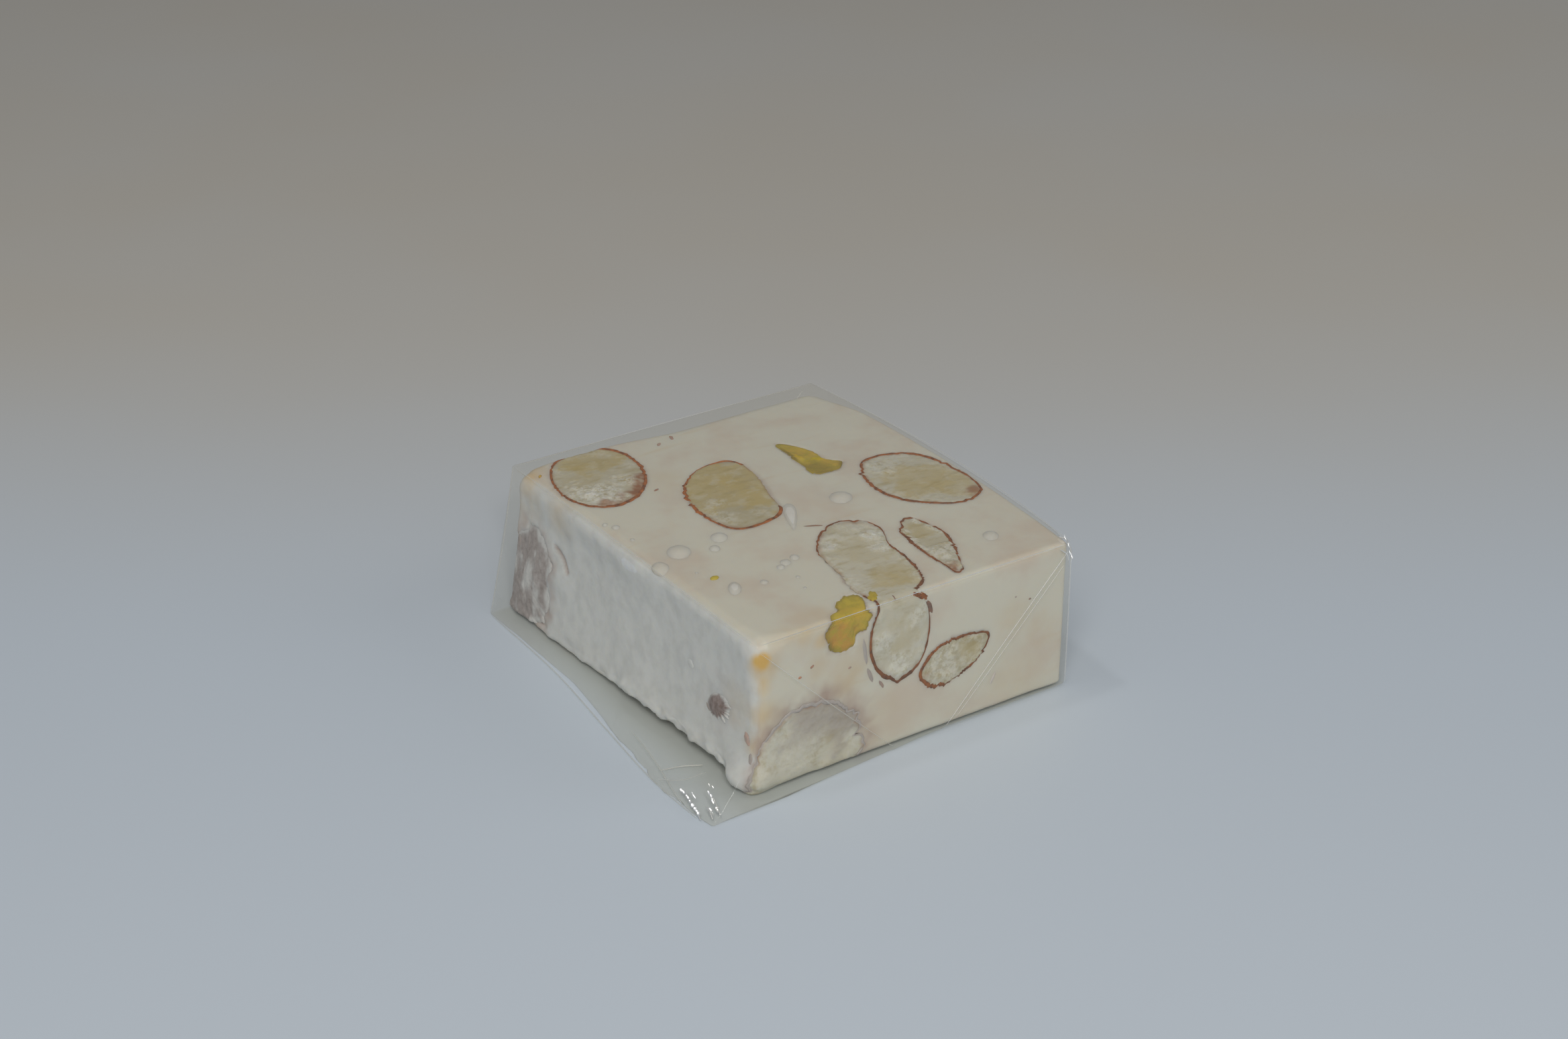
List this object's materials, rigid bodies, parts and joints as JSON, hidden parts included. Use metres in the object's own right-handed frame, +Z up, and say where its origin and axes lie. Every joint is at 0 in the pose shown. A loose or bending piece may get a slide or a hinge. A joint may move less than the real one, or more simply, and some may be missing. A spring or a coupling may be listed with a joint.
{
  "type": "wrapped nougat piece",
  "caption": "Low oblong block of white soft nougat with cut almonds and pistachio pieces, in a clear folded film wrap that stands loose along one bottom edge.",
  "frame": {"origin": "middle of the footprint on the ground, in the plane of the film's base", "axes": "+Z up; +Y along the block from the front folded end to the back one; +X across the ends, towards the side that is cut clean and away from the loose film"},
  "size_m": [0.0468, 0.0512, 0.0177],
  "materials": {
    "nougat": "soft white sugar paste with a faint warm cast, satin on the cut faces, dull on the torn side",
    "almond_flesh": "cut almond, ivory to yellow-beige, satin",
    "almond_skin": "wrinkled red-brown skin, dull",
    "pistachio": "yellow-green with orange-brown skin, satin",
    "clear_film": "clear gloss film, folded and creased"
  },
  "bodies": {
    "root": {"almond_top_far": "almond_flesh", "almond_top_middle": "almond_flesh", "almond_top_right": "almond_flesh", "almond_top_sliver": "almond_flesh", "almond_front_edge": "almond_flesh", "almond_front_small": "almond_flesh", "almond_front_corner": "almond_flesh", "almond_right_side": "almond_flesh", "almond_right_low": "almond_flesh", "almond_back_left": "almond_flesh", "almond_back_right": "almond_flesh", "almond_base_front": "almond_flesh", "almond_base_back": "almond_flesh", "almond_side_skin": "almond_skin", "almond_side_tip": "almond_skin", "pistachio_top": "pistachio", "pistachio_front_edge": "pistachio", "pistachio_back": "pistachio", "pistachio_base": "pistachio", "nougat_block": "nougat", "film_wrap": "clear_film"}
  },
  "joints": []
}
